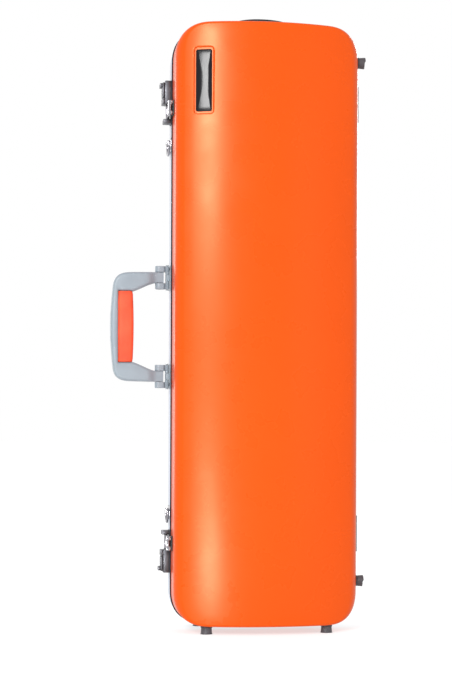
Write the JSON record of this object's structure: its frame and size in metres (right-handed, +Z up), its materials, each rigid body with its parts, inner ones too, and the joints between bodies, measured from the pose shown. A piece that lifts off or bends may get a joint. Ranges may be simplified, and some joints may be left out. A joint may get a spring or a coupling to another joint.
{
  "type": "violin case",
  "caption": "Oblong hard-shell violin case with an arched lid, spring latches, a folding side handle, end strap, rubber feet and a lined violin bed.",
  "frame": {"origin": "middle of the whole object's footprint on the plane of the end feet's soles; the case's own mid plane is 35 mm from it on the +X side, because the carrying handle counts in the footprint", "axes": "+Z up along the case's length, from the end feet to the end strap; -Y the way the lid faces; -X the handle side, +X the hinge side; the seam is the plane y = 0"},
  "size_m": [0.332, 0.134, 0.813],
  "materials": {
    "shell_white": "gloss",
    "shell_orange": "satin gloss",
    "seal_rubber": "matte",
    "trim_plastic": "matte",
    "plate_gloss": "high gloss",
    "hinge_steel": "black satin",
    "pin_steel": "brushed",
    "latch_steel": "satin grey",
    "latch_chrome": "polished",
    "handle_grey": "satin silver grey",
    "grip_rubber": "matte orange",
    "strap_rubber": "satin black",
    "foot_rubber": "matte",
    "lining_velvet": "velvet",
    "pad_velvet": "velvet",
    "webbing": "woven",
    "pouch_cloth": "woven",
    "bow_plastic": "satin"
  },
  "bodies": {
    "base": {"base_shell": "shell_white", "rim_seal": "seal_rubber", "rim_tongue": "trim_plastic", "hinge_upper_base_leaf": "hinge_steel", "hinge_upper_pin": "pin_steel", "hinge_lower_base_leaf": "hinge_steel", "hinge_lower_pin": "pin_steel", "latch_upper_housing": "latch_steel", "latch_upper_cover": "latch_steel", "latch_upper_pin": "pin_steel", "latch_lower_housing": "latch_steel", "latch_lower_cover": "latch_steel", "latch_lower_pin": "pin_steel", "strap_upper_eye": "latch_chrome", "strap_lower_eye": "latch_chrome", "handle_upper_base": "handle_grey", "handle_lower_base": "handle_grey", "handle_base_pins": "pin_steel", "top_handle": "strap_rubber", "top_handle_plates": "trim_plastic", "base_end_feet": "foot_rubber", "base_side_feet": "foot_rubber", "base_foot_screws": "pin_steel", "base_rivets": "latch_steel", "bed_foam": "lining_velvet", "bout_pad_lower": "pad_velvet", "bout_pad_upper": "pad_velvet", "neck_cradle": "pad_velvet", "neck_strap": "webbing", "accessory_pouch": "pouch_cloth"},
    "lid": {"lid_shell": "shell_orange", "name_plate": "plate_gloss", "hinge_upper_lid_leaf": "hinge_steel", "hinge_lower_lid_leaf": "hinge_steel", "latch_upper_keeper": "trim_plastic", "latch_lower_keeper": "trim_plastic", "lid_end_feet": "foot_rubber", "lid_side_feet": "foot_rubber", "lid_foot_screws": "pin_steel", "lid_rivets": "latch_steel", "lid_lining": "lining_velvet", "bow_tip_band": "webbing", "bow_left_base": "bow_plastic", "bow_right_base": "bow_plastic"},
    "upper_hasp": {"latch_upper_hasp": "latch_chrome"},
    "upper_slider": {"latch_upper_slider": "latch_steel"},
    "upper_strap_ring": {"strap_upper_ring": "latch_chrome"},
    "lower_hasp": {"latch_lower_hasp": "latch_chrome"},
    "lower_slider": {"latch_lower_slider": "latch_steel"},
    "lower_strap_ring": {"strap_lower_ring": "latch_chrome"},
    "handle_shackles": {"handle_upper_shackle": "handle_grey", "handle_lower_shackle": "handle_grey"},
    "handle": {"handle_frame": "handle_grey", "handle_grip": "grip_rubber", "handle_arm_pins": "pin_steel"},
    "left_bow_turn": {"bow_left_turn": "bow_plastic"},
    "right_bow_turn": {"bow_right_turn": "bow_plastic"}
  },
  "joints": [
    {"name": "lid_hinge", "type": "hinge", "parent": "base", "child": "lid", "pos_m": [0.161, 0.00135, 0.4], "axis": [0, 0, 1], "range_deg": [0, 100]},
    {"name": "upper_hasp_hinge", "type": "hinge", "parent": "base", "child": "upper_hasp", "pos_m": [-0.0915, 0.014, 0.6847], "axis": [0, 0, -1], "range_deg": [0, 110]},
    {"name": "upper_latch_slide", "type": "slide", "parent": "base", "child": "upper_slider", "axis": [0, 0, 1], "range_m": [0, 0.0036], "stiffness_N_per_m": 300, "springref_m": -0.003},
    {"name": "upper_strap_ring_hinge", "type": "hinge", "parent": "base", "child": "upper_strap_ring", "pos_m": [-0.0896, 0.022, 0.645], "axis": [0, 1, 0], "range_deg": [0, 170]},
    {"name": "lower_hasp_hinge", "type": "hinge", "parent": "base", "child": "lower_hasp", "pos_m": [-0.0915, 0.014, 0.1153], "axis": [0, 0, -1], "range_deg": [0, 110]},
    {"name": "lower_latch_slide", "type": "slide", "parent": "base", "child": "lower_slider", "axis": [0, 0, -1], "range_m": [0, 0.0036], "stiffness_N_per_m": 300, "springref_m": -0.003},
    {"name": "lower_strap_ring_hinge", "type": "hinge", "parent": "base", "child": "lower_strap_ring", "pos_m": [-0.0896, 0.022, 0.157], "axis": [0, 1, 0], "range_deg": [0, 170]},
    {"name": "handle_shackle_hinge", "type": "hinge", "parent": "base", "child": "handle_shackles", "pos_m": [-0.0906, 0.018, 0.4], "axis": [0, 0, 1], "range_deg": [-45, 45]},
    {"name": "handle_hinge", "type": "hinge", "parent": "handle_shackles", "child": "handle", "pos_m": [-0.1013, 0.018, 0.4], "axis": [0, 0, 1], "range_deg": [-30, 30]},
    {"name": "left_bow_turn_hinge", "type": "hinge", "parent": "lid", "child": "left_bow_turn", "pos_m": [-0.01, -0.046, 0.105], "axis": [0, 1, 0], "continuous": true},
    {"name": "right_bow_turn_hinge", "type": "hinge", "parent": "lid", "child": "right_bow_turn", "pos_m": [0.08, -0.046, 0.105], "axis": [0, 1, 0], "continuous": true}
  ]
}
